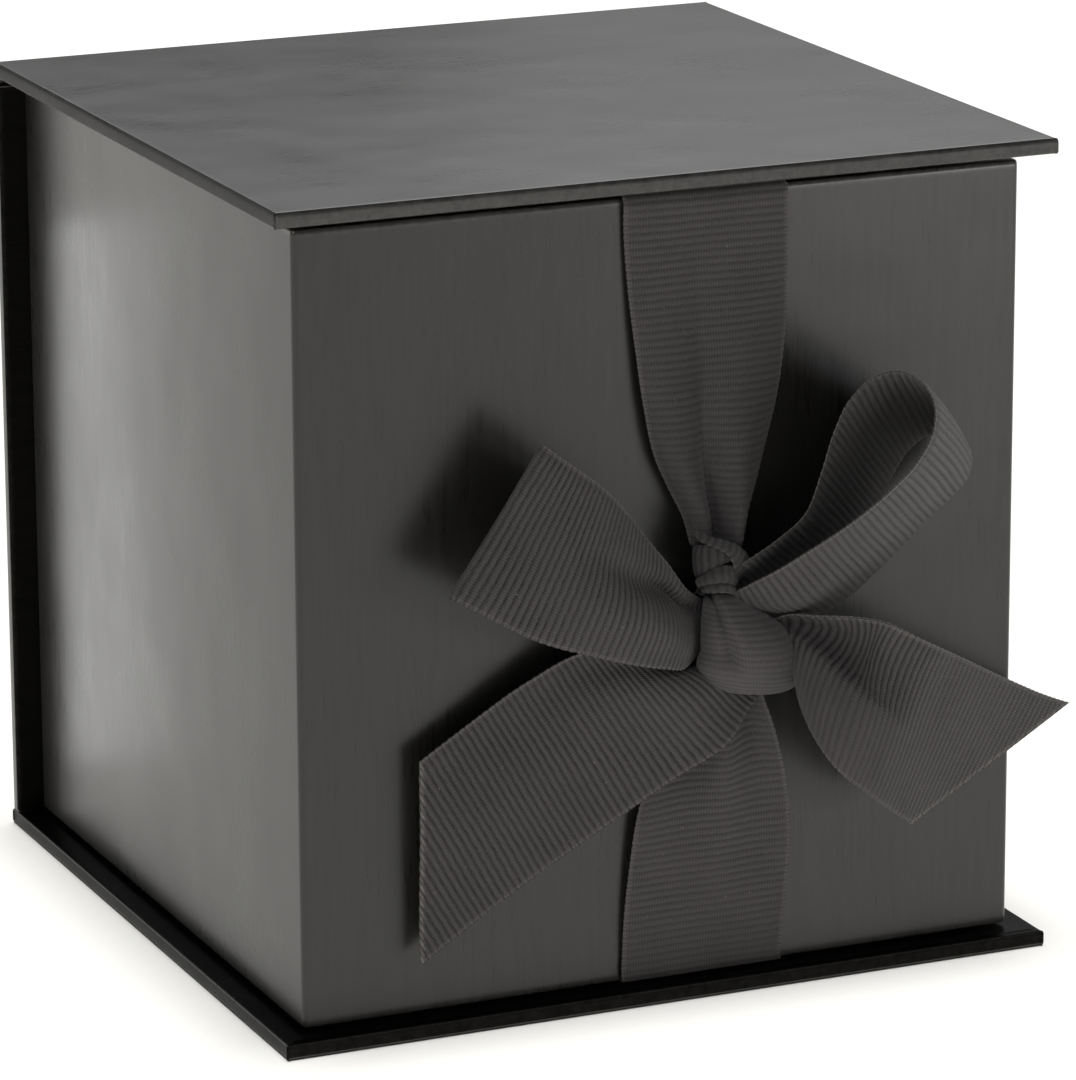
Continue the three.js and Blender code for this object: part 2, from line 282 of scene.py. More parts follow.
def grosgrain():
    """Charcoal grosgrain. The mesh has the ribs; this adds its threads, painted shade in its grooves,
    the fuzz and lint on the ribs and the paler loops of the selvages. U runs across the ribbon, V along."""
    nodes = Nodes("grosgrain", IOR=1.45, Sheen_Weight=0.12, Sheen_Roughness=0.45,
                  Specular_IOR_Level=0.35)
    where = scaled(nodes, nodes.add("UVMap", uv_map="cloth").outputs[0], UV_MM)

    def threads(direction, pitch, distortion=0.0):
        """Bands `pitch` millimetres apart: a wave texture has one in each 2 pi / (20 scale)."""
        wave = nodes.add("TexWave", wave_type="BANDS", bands_direction=direction)
        nodes.fill(wave, Vector=where, Scale=2 * pi / (20 * pitch), Distortion=distortion,
                   Detail=1.0, Detail_Scale=0.6)
        return wave.outputs["Fac"]

    # the ridge mark is high on the rib crowns and low in the grooves; it drives painted shade there
    ridge = nodes.add("Attribute", attribute_name="ridge").outputs["Fac"]
    edge = nodes.add("Attribute", attribute_name="edge").outputs["Fac"]
    warp = threads("X", 0.42, 3.0)
    lint = nodes.noise(where, 1.3, 2.0, 0.6)
    shade = nodes.noise(where, 0.16, 2.0)
    fuzz = nodes.noise(where, 3.6, 3.0, 0.75)
    tone = nodes.mix(nodes.spread(shade, 0.3, 0.7), (0.0455, 0.042, 0.0415), (0.056, 0.0518, 0.0511))
    # painted shade: the grooves go nearly black
    groove = nodes.mix(0.92, tone, (0.004, 0.0034, 0.0034))
    tone = nodes.mix(nodes.spread(ridge, 0.15, 0.95), groove, tone)
    tone = nodes.mix(nodes.spread(fuzz, 0.42, 0.75, 0.0, 0.6), tone, (0.092, 0.083, 0.084))
    tone = nodes.mix(nodes.math("MULTIPLY", nodes.spread(warp, 0.35, 0.9, 0.0, 0.35), ridge),
                     tone, (0.098, 0.089, 0.090))
    tone = nodes.mix(nodes.spread(lint, 0.715, 0.76, 0.0, 0.8), tone, (0.16, 0.15, 0.145))
    picot = nodes.math("MULTIPLY", edge, nodes.spread(threads("Y", 0.6), 0.35, 0.8, 0.12, 0.5))
    tone = nodes.mix(nodes.math("MINIMUM", picot, 0.9), tone, (0.17, 0.155, 0.148))
    rough = nodes.spread(fuzz, 0.3, 0.7, 0.62, 0.82)
    height = nodes.math("ADD", warp, nodes.math("MULTIPLY", fuzz, 0.8))
    return nodes.finish(tone, rough, nodes.bump(height, 0.05 * MM, 0.8))


GRAIN_ACROSS = (0.16, 1.5, 1.5)  # the paper's grain runs along X on the lid and the base,
GRAIN_UP = (1.2, 1.2, 0.1)  # and along Z on the walls
MATERIAL = {
    "cover_paper": cover_paper("cover_paper", GRAIN_ACROSS, 0.5),
    "wall_paper": cover_paper("cover_paper_upright", GRAIN_UP, 0.22),
    # a darker, less glossy copy of the cover paper: painted shade for faces that sit in shadow
    "painted_shade_paper": cover_paper("cover_paper_painted_shade", GRAIN_ACROSS, 0.2, 0.4, 0.1, 1.2),
    "lining_paper": lining_paper(),
    "greyboard": greyboard(),
    "stay_paper": stay_paper(),
    "ribbon": grosgrain(),
}


def dress_frame():
    """Each CAD node gets the material of its own slot."""
    for part in frame["record"]["subparts"]:
        materials = frame["nodes"][part["node"]].data.materials
        materials.clear()
        materials.append(MATERIAL[part["material_slot"]])


dress_frame()

# ---- mesh helpers ----


def make_piece(name, points, faces, slot, marks=None, uv=None, look=None):
    """A smooth-shaded object from points in millimetres. `marks` are vertex attributes by name,
    and `look` is its material where that isn't the one named after its slot."""
    mesh = bpy.data.meshes.new(name)
    mesh.from_pydata((np.asarray(points) * MM).tolist(), [], faces)
    mesh.polygons.foreach_set("use_smooth", [True] * len(mesh.polygons))
    for key, values in (marks or {}).items():
        mesh.attributes.new(key, "FLOAT", "POINT").data.foreach_set(
            "value", np.asarray(values, np.float32))
    if uv is not None:
        corners = np.zeros(len(mesh.loops), int)
        mesh.loops.foreach_get("vertex_index", corners)
        mesh.uv_layers.new(name="cloth").data.foreach_set(
            "uv", np.asarray(uv, np.float32)[corners].ravel())
    mesh.materials.append(MATERIAL[look or slot])
    piece = bpy.data.objects.new(name, mesh)
    bpy.context.scene.collection.objects.link(piece)
    return piece


def paint_shade(piece, chosen):
    """The faces whose normals `chosen` accepts take a darker copy of the paper, painted shade."""
    piece.data.materials.append(MATERIAL["painted_shade_paper"])
    for face in piece.data.polygons:
        if chosen(face.normal):
            face.material_index = 1


def quads(rows, columns, start=0, closed=False, flip=False):
    """Faces of a grid of points numbered row by row. `closed` joins the last column to the first,
    and `flip` turns the faces over."""
    faces = []
    for i in range(rows - 1):
        for j in range(columns if closed else columns - 1):
            k = (j + 1) % columns
            face = [i * columns + j, i * columns + k, (i + 1) * columns + k, (i + 1) * columns + j]
            faces.append([start + v for v in (reversed(face) if flip else face)])
    return faces


CORNER_STEPS = 6
RING = 4 * (CORNER_STEPS + 1)  # the points of one ring


def ring(half_x, half_y, radius):
    """Points anticlockwise round a rectangle with rounded corners, as an array of x and y."""
    points = []
    for quarter, (sx, sy) in enumerate(((1, 1), (-1, 1), (-1, -1), (1, -1))):
        for step in range(CORNER_STEPS + 1):
            angle = pi / 2 * (quarter + step / CORNER_STEPS)
            points.append((sx * (half_x - radius) + radius * cos(angle),
                           sy * (half_y - radius) + radius * sin(angle)))
    return np.array(points)


def arc(centre, radius, start, end, steps=4):
    """Points round `centre` between two angles. `radius` is one number, or one for each axis."""
    wide, tall = np.broadcast_to(radius, 2)
    return [(centre[0] + wide * cos(a), centre[1] + tall * sin(a))
            for a in np.radians(np.linspace(start, end, steps + 1))]


# how far folded paper stands out at each point of a ring's corner, in millimetres
NIP = np.array([0, 0.05, 0.28, 0.10, 0.20, 0, 0])


def sheet_of_rings(profile, half_x, half_y, nip=0.0):
    """Points, faces and marks of a skin through rings that follow `profile`, a list of (inset,
    height, wear and painted highlight, corner radius). Rings with that mark swell at their corners
    by `nip` times NIP."""
    points, wear_and_highlight = [], []
    for inset, height, rub_and_highlight, radius in profile:
        outline = ring(half_x - inset, half_y - inset, radius)
        outline *= 1 + (nip * rub_and_highlight * np.tile(NIP, 4) / half_x)[:, None]
        points += [(x, y, height) for x, y in outline]
        wear_and_highlight += [rub_and_highlight] * len(outline)
    return points, quads(len(profile), RING, closed=True), wear_and_highlight


def capped(faces, rings):
    """The faces of a skin through rings, and one more across its first and its last ring."""
    last = (rings - 1) * RING
    return [*faces, list(range(RING))[::-1], [last + j for j in range(RING)]]


def middle_and_halves(box, first, second):
    """The middle of a box along two of its axes, and half its size along each."""
    low, high = box
    return [((low[k] + high[k]) / 2, (high[k] - low[k]) / 2) for k in (first, second)]


# ---- covering paper ----

EDGE_R = 0.42  # rounding where the paper turns over a board's edge
PLAN_R = 0.5  # the same at a board's corners, seen from above
SOFT = (0.35, 0.8)  # the softer turn over a board's outer edge, inwards and down
MIN_R = 0.06  # smallest corner radius of a ring
LAP = 1.2  # how far short of a full mitre the upper turn-ins are cut


def board_profile(thickness):
    """The paper of one board, from the middle of its outer face round to the turn-in and back.
    Heights run from the outer face (0) to the inner face."""
    e, inner_r = EDGE_R, EDGE_R - PAPER
    outer = arc(SOFT, SOFT, 270, 180, 6) + arc((e, thickness - e), e, 180, 90)
    inner = arc((e, thickness - e), inner_r, 90, 180) + arc((e, e), inner_r, 180, 270)
    rows = [(e + 6.0, 0, 0.0), (e + 0.5, 0, 0.0)]
    rows += [(inset, height, 1.0) for inset, height in outer]
    rows += [(e + 0.5, thickness, 0.0), (TURN_IN - 0.3, thickness, 0.0), (TURN_IN, thickness, 1.0),
             (TURN_IN, thickness - PAPER, 0.5), (e + 0.5, thickness - PAPER, 0.0)]
    rows += [(inset, height, 0.0) for inset, height in inner]
    rows += [(e + 0.5, PAPER, 0.0)]
    return [(inset, height, rub_and_highlight, max(PLAN_R - inset, MIN_R)) for inset, height, rub_and_highlight in rows]


def flap(outline, low, high):
    """A thin plate over a counterclockwise outline of (x, y, lift), where lift scales its height."""
    count = len(outline)
    points = [(x, y, low) for x, y, _ in outline]
    points += [(x, y, low + (high - low) * lift) for x, y, lift in outline]
    faces = [list(range(count))[::-1], list(range(count, 2 * count))]
    faces += [[i, (i + 1) % count, count + (i + 1) % count, count + i] for i in range(count)]
    return points, faces


def turn_ins(half_x, half_y, thickness):
    """The front and the rear turn-in, which lie over the side ones with mitred ends."""
    x, y = half_x, half_y
    outline = [(-x + 0.8, -y + 0.5, 0.0), (x - 0.8, -y + 0.5, 0.0), (x - 1.6, -y + 1.3, 1.0),
               (x - TURN_IN + LAP, -y + TURN_IN, 1.0), (-x + TURN_IN - LAP, -y + TURN_IN, 1.0),
               (-x + 1.6, -y + 1.3, 1.0)]
    plate, faces = flap(outline, thickness - 0.05, thickness + PAPER)
    return [(plate, faces), ([(-x, -y, z) for x, y, z in plate], faces)]


def covered_board(name, box, body, inner, node, painted_shade_faces):
    """Paper round a flat board. `inner` is +1 where the turn-ins lie on its upper side, and the last
    argument picks, by their normals, the faces that take a darker copy of the paper: painted shade."""
    (_, half_x), (centre_y, half_y) = middle_and_halves(box, 0, 1)
    low, high = box
    thickness = high[2] - low[2]
    profile = board_profile(thickness)
    points, faces, wear_and_highlight = sheet_of_rings(profile, half_x, half_y, 1.0)
    faces = capped(faces, len(profile))
    first_flap = len(faces)
    for plate, plate_faces in turn_ins(half_x, half_y, thickness):
        faces += [[len(points) + v for v in face] for face in plate_faces]
        points += plate
        # the turn-ins are paler all over: rubbed, and partly a painted highlight along their mitres
        wear_and_highlight += [0.8] * len(plate)
    placed = np.array(points)
    placed[:, 1] += centre_y
    if inner > 0:
        placed[:, 2] += low[2]
    else:
        placed[:, 2] = high[2] - placed[:, 2]
        faces = [face[::-1] for face in faces]
    piece = make_piece(name, placed, faces, "cover_paper", {"wear_and_highlight": wear_and_highlight})
    for face in piece.data.polygons[first_flap:]:
        face.use_smooth = False
    paint_shade(piece, painted_shade_faces)
    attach(piece, body)
    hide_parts(node)


def spine_cover():
    """Paper round the upright spine board: its rings lie in upright planes."""
    (_, half_x), (centre_z, half_z) = middle_and_halves(SPINE, 0, 2)
    rear = SPINE[1][1]
    profile = board_profile(rear - SPINE[0][1])
    points, faces, wear_and_highlight = sheet_of_rings(profile, half_x, half_z)
    placed = [(x, rear - height, centre_z + z) for x, z, height in points]
    piece = make_piece("spine_cover", placed, capped(faces, len(profile)), "cover_paper",
                       {"wear_and_highlight": wear_and_highlight}, look="wall_paper")
    # the spine's front face, towards the tray, takes painted shade
    paint_shade(piece, lambda normal: normal.y < -0.5)
    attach(piece, "root")
    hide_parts("spine_wrap")


def hinge_cover():
    """The paper between spine and lid, pressed into a shallow groove. It bends across the hinge."""
    spine_top, lid_under = SPINE[1][2], LID[0][2]
    half_x = (SPINE[1][0] - SPINE[0][0]) / 2 - 0.12
    groove = [(0.02, spine_top - 0.9), (0.03, spine_top - 0.45), (0.10, spine_top - 0.1),
              (0.14, HINGE[2]), (0.10, lid_under + 0.1), (0.03, lid_under + 0.45),
              (0.02, lid_under + 0.9)]
    even = np.linspace(0, len(groove) - 1, 25)
    outer = [(np.interp(t, range(len(groove)), [depth for depth, _ in groove]),
              np.interp(t, range(len(groove)), [z for _, z in groove])) for t in even]
    xs = np.linspace(-half_x, half_x, 25)
    rows = [[(x, HINGE[1] - d, z) for x in xs] for d, z in outer]
    rows += [[(x, HINGE[1] - d - PAPER, z) for x in xs] for d, z in reversed(outer)]
    count, columns = len(rows), len(xs)
    points = [p for row in rows for p in row]
    faces = quads(count, columns)
    last = (count - 1) * columns
    faces += [[last + j, last + j + 1, j + 1, j] for j in range(columns - 1)]
    for j, step in ((0, 1), (columns - 1, -1)):
        side = [i * columns + j for i in range(count)]
        for k in range(count // 2 - 1):
            face = [side[k], side[k + 1], side[count - 2 - k], side[count - 1 - k]]
            faces.append(face[::step])
    piece = make_piece("hinge_cover", points, faces, "cover_paper", {"wear_and_highlight": [0.35] * len(points)})
    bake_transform(piece, "root", "lid", start=(0, HINGE[1] * MM, spine_top * MM),
             end=(0, HINGE[1] * MM, lid_under * MM))
    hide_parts("lid_hinge_paper")


TRAY_R = 0.95  # the tray's upright corners


def tray_profile(bottom, top):
    """The tray's paper as (inset, height, wear and painted highlight, corner radius): under the
    floor's edge, up the wall, over the rim and down inside, and back along the paper's inner side."""
    e, p = EDGE_R, PAPER
    inside = 3 * PAPER + BOARD
    foot = arc((e, bottom + e), e, 270, 180)
    rim_out = arc((SOFT[0], top - SOFT[1]), SOFT, 180, 90, 6)
    rim_in = arc((inside - e, top - e), e, 90, 0)
    rows = [(TURN_IN, bottom, 0, 0.1), (e + 0.5, bottom, 0, 0.3)]
    rows += [(i, h, 1.0, TRAY_R - i) for i, h in foot]
    rows += [(0, bottom + 1.2, 0, TRAY_R), (0, top - 1.2, 0, TRAY_R)]
    rows += [(i, h, 1.0, TRAY_R - i) for i, h in rim_out]
    rows += [(i, h, 1.0, 0.3) for i, h in rim_in]
    rows += [(inside, top - 1.2, 0, 0.2), (inside, top - TURN_IN, 0.4, 0.2),
             (inside - p, top - TURN_IN, 0, 0.3), (inside - p, top - e, 0, 0.3)]
    rows += [(i, h, 0, 0.4) for i, h in arc((inside - e, top - e), e - p, 0, 90)]
    rows += [(i, h, 0, TRAY_R - i) for i, h in arc((e, top - e), e - p, 90, 180)]
    rows += [(p, top - TURN_IN, 0, TRAY_R - p), (p, bottom + e, 0, TRAY_R - p)]
    rows += [(i, h, 0, TRAY_R - i) for i, h in arc((e, bottom + e), e - p, 180, 270)[1:]]
    rows += [(TURN_IN, bottom + p, 0, 0.1)]
    return [(i, h, w, max(r, MIN_R)) for i, h, w, r in rows]


def tray_cover():
    """One paper skin round the tray's walls, closed into a sleeve."""
    (_, half_x), (centre_y, half_y) = middle_and_halves(TRAY, 0, 1)
    profile = tray_profile(TRAY[0][2], RIM)
    points, faces, wear_and_highlight = sheet_of_rings(profile, half_x, half_y)
    last = (len(profile) - 1) * RING
    faces += [[last + j, last + (j + 1) % RING, (j + 1) % RING, j] for j in range(RING)]
    placed = [(x, centre_y + y, z) for x, y, z in points]
    piece = make_piece("tray_cover", placed, faces, "cover_paper", {"wear_and_highlight": wear_and_highlight}, look="wall_paper")
    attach(piece, "root")
    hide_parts("tray_wrap")


def stay_outline(half, leg):
    """Points round an L of tape, bent round the corner at (half, half): out, and back inside."""
    radius = TRAY_R - PAPER
    middle = half - radius
    bend = arc((middle, middle), radius, 0, 90, 6)
    outer = [(half, half - leg), *bend, (half - leg, half)]
    inner = []
    for point in outer:
        away = np.maximum(np.array(point) - middle, 0)
        inner.append(tuple(np.array(point) - PAPER * away / np.linalg.norm(away)))
    return outer + inner[::-1]


def corner_stays():
    """Gummed tape bent round each corner of the tray's walls, under the cover."""
    centre_y = (TRAY[0][1] + TRAY[1][1]) / 2
    outline = stay_outline(TRAY[1][0] - PAPER, 12.0)
    count = len(outline)
    sides = [[j, (j + 1) % count, count + (j + 1) % count, count + j] for j in range(count)]
    for name, sx, sy in (("front_left", -1, -1), ("front_right", 1, -1),
                         ("rear_left", -1, 1), ("rear_right", 1, 1)):
        node = "corner_stay_" + name
        low, high = box_mm(node)
        points = [(sx * x, centre_y + sy * y, z) for z in (low[2], high[2]) for x, y in outline]
        faces = list(sides)
        for k in range(count // 2 - 1):
            end = [k, k + 1, count - 2 - k, count - 1 - k]
            faces += [end[::-1], [count + v for v in end]]
        if sx * sy < 0:
            faces = [face[::-1] for face in faces]
        piece = make_piece("stay_tape_" + name, points, faces, "stay_paper")
        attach(piece, "root")
        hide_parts(node)


# the base's top and sides and the lid's sides take painted shade
covered_board("base_cover", BASE, "root", +1, "base_wrap",
              painted_shade_faces=lambda normal: normal.z > 0.9 or abs(normal.z) < 0.2)
covered_board("lid_cover", LID, "lid", -1, "lid_wrap", painted_shade_faces=lambda normal: abs(normal.x) > 0.9)
spine_cover()
hinge_cover()
tray_cover()
corner_stays()

# ---- ribbon ----


def glide(stations, steps=40):
    """A smooth curve through the rows of `stations`, `steps` points to each span. Its slope at a
    station is the mean of its neighbours' slopes, weighted by how near they are."""
    rows = np.asarray(stations, float)
    span = np.linalg.norm(np.diff(rows[:, :6], axis=0), axis=1)
    slope = np.diff(rows, axis=0) / span[:, None]
    tangent = np.empty_like(rows)
    tangent[0], tangent[-1] = slope[0], slope[-1]
    share = (span[:-1] / (span[:-1] + span[1:]))[:, None]
    tangent[1:-1] = slope[:-1] * (1 - share) + slope[1:] * share
    out = []
    for i, length in enumerate(span):
        t = np.linspace(0, 1, steps, endpoint=False)[:, None]
        out.append((2 * t**3 - 3 * t**2 + 1) * rows[i] + (t**3 - 2 * t**2 + t) * length * tangent[i]
                   + (3 * t**2 - 2 * t**3) * rows[i + 1] + (t**3 - t**2) * length * tangent[i + 1])
    out.append(rows[-1:])
    return np.concatenate(out)


def even_rows(stations):
    """The stations' curve at even steps along the ribbon's middle, and each row's distance."""
    dense = glide(stations)
    middle = (dense[:, :3] + dense[:, 3:6]) / 2
    run = np.concatenate([[0], np.cumsum(np.linalg.norm(np.diff(middle, axis=0), axis=1))])
    count = int(round(run[-1] / RIB_PITCH * RIB_STEPS))
    want = np.linspace(0, run[-1], count + 1)
    return np.stack([np.interp(want, run, column) for column in dense.T], 1), want


def unit(vectors):
    """The vectors at length 1."""
    return vectors / np.maximum(np.linalg.norm(vectors, axis=-1, keepdims=True), 1e-9)


SELVAGE = np.array([0, 0.3, 0.75])  # first steps in from each edge, in millimetres


def across_steps(count=30):
    """Shares of the ribbon's width: `count` even steps, with closer ones at the selvages."""
    inner = np.linspace(1.4, RIBBON_W - 1.4, count)
    return np.concatenate([SELVAGE, inner, RIBBON_W - SELVAGE[::-1]]) / RIBBON_W


def ribbed(cloth, run, start, relief):
    """A closed, ribbed strip about a grid of points: rows follow `run`, columns cross the ribbon.
    `relief`, a number or a grid of them, scales the ribs' height and the painted shade in the
    grooves between them. Returns its points, faces, marks and UVs."""
    u = across_steps(cloth.shape[1] - 2 * len(SELVAGE))
    along, across = np.gradient(cloth, axis=0), np.gradient(cloth, axis=1)
    normal = unit(np.cross(along, across))
    width_mm = u * RIBBON_W
    from_edge = np.minimum(width_mm, RIBBON_W - width_mm)
    far = run[:, None]
    wander = 0.05 * np.sin(width_mm * 0.35 + far * 0.31) + 0.035 * np.sin(width_mm * 2.3 - far * 0.83)
    phase = pi * (far + start + wander) / RIB_PITCH
    ridge = np.abs(np.cos(phase)) ** 0.7
    relief = np.broadcast_to(relief, ridge.shape)
    half = WEB + relief * RIB_H * ridge * np.clip(from_edge / 0.9, 0.25, 1)
    scallop = 0.14 * (ridge - 0.5) * np.clip(1 - from_edge / 0.5, 0, 1)
    cloth = cloth + unit(across) * (scallop * np.sign(u - 0.5))[..., None]
    front, back = cloth + normal * half[..., None], cloth - normal * half[..., None]
    n, m = cloth.shape[:2]
    points = np.concatenate([front.reshape(-1, 3), back.reshape(-1, 3)])
    faces = quads(n, m, flip=True) + quads(n, m, start=n * m)
    rims = [(i * m + j, (i + 1) * m + j, step)
            for i in range(n - 1) for j, step in ((0, 1), (m - 1, -1))]
    rims += [(i * m + j, i * m + j + 1, step)
             for j in range(m - 1) for i, step in ((0, -1), (n - 1, 1))]
    faces += [[a, b, n * m + b, n * m + a][::step] for a, b, step in rims]
    selvage = np.broadcast_to(np.clip(1.25 - from_edge / 0.55, 0, 1), (n, m))
    uv = np.stack([np.broadcast_to(part, (n, m)) for part in (width_mm, far + start)], -1) / UV_MM
    # painted shade for the grooves, deeper where relief is larger
    lit = 1 - np.clip(relief, 0, 1) * (1 - ridge)
    marks = {"ridge": np.tile(lit.ravel(), 2), "edge": np.tile(selvage.ravel(), 2)}
    return points, faces, marks, np.tile(uv.reshape(-1, 2), (2, 1))


def flat_cloth(stations, relief, count=30):
    """The ribbon's middle surface between two edges, and each row's distance along it. A station
    is one edge (x, standoff, z), the other edge, and any numbers that `relief(u, run, extra)`
    reads; its answer moves the cloth out of the strip, in millimetres. Standoffs are measured
    from the tray's front face."""
    rows, run = even_rows(stations)
    one, other, extra = rows[:, :3].copy(), rows[:, 3:6].copy(), rows[:, 6:]
    for edge in (one, other):
        edge[:, 1] = FRONT - edge[:, 1]
    u = across_steps(count)
    cloth = one[:, None] + (other - one)[:, None] * u[:, None]
    face = unit(np.cross(np.gradient((one + other) / 2, axis=0), other - one))
    lift = relief(u, run[:, None], [column[:, None] for column in extra.T])
    cloth += face[:, None] * np.broadcast_to(lift, cloth.shape[:2])[..., None]
    return cloth, run


def arched_cloth(stations, wrap, crease, count=36):
    """Ribbon bent across its width into an arch. A station is one edge (x, standoff, z), the other
    edge, and the crown between them; each side curls on until `wrap` degrees from the crown.
    `crease(angle, share)` sinks the cloth, in millimetres."""
    rows, run = even_rows([(*row[6:9], *row[6:9], *row[:6]) for row in stations])
    crown, one, other = rows[:, :3].copy(), rows[:, 6:9].copy(), rows[:, 9:].copy()
    for line in (crown, one, other):
        line[:, 1] = FRONT - line[:, 1]
    middle = (one + other) / 2
    angle = np.radians(wrap) * (2 * across_steps(count) - 1)
    cloth = (middle[:, None] + ((other - one) / 2)[:, None] * np.sin(angle)[:, None]
             + (crown - middle)[:, None] * np.cos(angle)[:, None])
    face = unit(np.cross(np.gradient(cloth, axis=0), np.gradient(cloth, axis=1)))
    cloth -= face * crease(angle, (run / run[-1])[:, None])[..., None]
    return cloth, run


def ribbon(name, cloth, run, start, relief):
    """A ribbon piece on the root, which keeps its length in millimetres."""
    points, faces, marks, uv = ribbed(cloth, run, start, relief)
    piece = make_piece(name, points, faces, "ribbon", marks, uv)
    piece["length_mm"] = float(run[-1])
    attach(piece, "root")
    return piece


TAUT = 0.55  # the share of the ribs' height, and of the painted shade in their grooves, that is left where it is pulled tight
CUT_END = 2.5  # how much paler a cut end's loose threads are than a selvage


def trim(piece, point, outward):
    """Cuts the piece along a plane through `point` (x, standoff, z), drops what lies on the
    `outward` side, closes the cut, and marks its threads as an edge."""
    place = Vector((point[0], FRONT - point[1], point[2])) * MM
    outward = Vector(outward).normalized()
    mesh = bmesh.new()
    mesh.from_mesh(piece.data)
    everything = mesh.verts[:] + mesh.edges[:] + mesh.faces[:]
    bmesh.ops.bisect_plane(mesh, geom=everything, dist=1e-7, plane_co=place, plane_no=outward,
                           clear_outer=True)
    open_edges = [edge for edge in mesh.edges if edge.is_boundary]
    bmesh.ops.holes_fill(mesh, edges=open_edges, sides=0)
    layer = mesh.verts.layers.float["edge"]
    for vertex in mesh.verts:
        depth = (place - vertex.co).dot(outward) / MM
        vertex[layer] = max(vertex[layer], CUT_END * min(max(1.3 - depth / 0.45, 0), 1))
    mesh.to_mesh(piece.data)
    mesh.free()


def hill(u, at, width):
    """A smooth bump of height 1 round `at`."""
    return np.exp(-(((u - at) / width) ** 2))


def ease(value, low, high):
    """A smooth step from 0 at `low` to 1 at `high`."""
    t = np.clip((value - low) / (high - low), 0, 1)
    return t * t * (3 - 2 * t)


RIBBON_X = 6.1  # the band stands this far right of the box's middle
LEFT, RIGHT = RIBBON_X - RIBBON_W / 2, RIBBON_X + RIBBON_W / 2


def upper_band():
    """From its glued end inside the tray, over the rim and down to the knot, where it gathers
    into two pleats with a deep valley between them."""
    inside = -(BOARD + 4 * PAPER + 0.05)
    path = [(inside, RIM - 18, 0), (inside, RIM - 9, 0), (inside, RIM - 1.2, 0),
            (inside + 0.35, RIM + 0.2, 0), (inside + 1.1, RIM + 0.62, 0), (-1.1, RIM + 0.62, 0),
            (0.2, RIM + 0.35, 0), (0.62, RIM - 0.6, 0), (0.6, RIM - 3, 0.1)]
    stations = [(LEFT, s, z, RIGHT, s, z, depth) for s, z, depth in path]
    stations += [
        (LEFT + 0.5, 0.8, 106, RIGHT - 0.1, 0.8, 106, 0.3),
        (LEFT + 1.6, 1.3, 96, RIGHT - 0.7, 1.2, 96.4, 0.9),
        (LEFT + 2.7, 1.7, 88, RIGHT - 2.0, 1.6, 88.4, 1.6),
        (LEFT + 4.3, 1.8, 81, RIGHT - 4.0, 1.8, 81, 2.7),
        (LEFT + 6.5, 2.0, 76, RIGHT - 5.7, 2.0, 75.6, 3.6),
        (LEFT + 8.3, 2.6, 72, RIGHT - 7.4, 2.6, 71.6, 3.9),
        (LEFT + 9.2, 3.2, 68, RIGHT - 8.6, 3.2, 67.6, 3.6),
    ]
    valley = 0.415

    def relief(u, run, extra):
        gap = 0.055 * ease(run, 55, 75)
        first = np.sin(pi * np.clip(u / (valley - gap), 0, 1))
        second = np.sin(pi * np.clip((u - valley - gap) / (1 - valley - gap), 0, 1))
        pleats = np.maximum(first, second) ** 0.75
        swell = 0.35 * np.sin(pi * u) * ease(run, 30, 60)
        return extra[0] * pleats * (0.9 + 0.25 * (u > 0.5) * hill(u, 0.72, 0.2)) + swell

    return ribbon("upper_ribbon_band", *flat_cloth(stations, relief), 0.0, TAUT)


def lower_band():
    """From under the tray, up the front and in behind the tails."""
    z = BASE[1][2] + 0.36
    stations = [
        (LEFT, -18, z, RIGHT, -18, z, 0), (LEFT, -9, z, RIGHT, -9, z, 0),
        (LEFT, -1.2, z, RIGHT, -1.2, z, 0), (LEFT, 0.1, z + 0.12, RIGHT, 0.1, z + 0.12, 0),
        (LEFT - 0.3, 0.55, z + 0.9, RIGHT - 0.4, 0.55, z + 0.9, 0),
        (LEFT - 0.3, 0.7, z + 4, RIGHT - 0.2, 0.7, z + 4, 0),
        (LEFT - 0.1, 1.0, 13, RIGHT + 0.3, 0.9, 13, 0.1),
        (LEFT + 0.6, 1.5, 21, RIGHT + 0.7, 1.4, 21, 0.5),
        (LEFT + 1.9, 2.2, 30, RIGHT - 0.2, 2.1, 30.4, 1.2),
        (LEFT + 4.6, 3.2, 38, RIGHT - 2.4, 3.1, 38.5, 2.2),
        (LEFT + 8.2, 4.6, 45, RIGHT - 5.4, 4.6, 45.6, 3.0),
        (LEFT + 9.6, 5.4, 50, RIGHT - 7.0, 5.4, 50, 3.0),
    ]

    def relief(u, run, extra):
        folds = 0.9 * hill(u, 0.82, 0.16) + 0.75 * hill(u, 0.3, 0.2) - 0.35 * hill(u, 0.56, 0.09)
        return extra[0] * folds

    return ribbon("lower_ribbon_band", *flat_cloth(stations, relief), 0.0, TAUT)


def left_tail():
    """It leaves the knot in a fold and lies out to the left, with its end cut upright."""
    stations = [
        (8, 2.5, 51, 14.5, 2.5, 48, 0.5), (3.2, 4.0, 50.3, 13.2, 4.0, 45.0, 1.0),
        (-2.4, 6.0, 52.4, 10.4, 5.5, 42.5, 1.3), (-7.1, 7.2, 53.8, 7.4, 6.8, 39.3, 1.3),
        (-15.2, 6.4, 55.1, -1.6, 6.4, 34.5, 0.9),
        (-23.4, 5.2, 51.4, -10.4, 5.4, 29.4, 0.5), (-31, 4.4, 46.8, -18.4, 4.6, 24.6, 0.3),
        (-40, 4.0, 41.3, -27.3, 4.1, 19, 0.2), (-52.7, 3.8, 33.3, -39.8, 3.8, 11, 0.2),
    ]

    def relief(u, run, extra):
        folds = 1.2 * hill(u, 0.42, 0.3) - 0.9 * hill(u, 0.12, 0.12)
        return extra[0] * folds + 0.25 * np.sin(run / 7.0 + 3 * u)

    piece = ribbon("left_tail", *flat_cloth(stations, relief), 0.3, 1.25)
    trim(piece, (-39.6, 4, 26), (-1, 0, 0))
    return piece


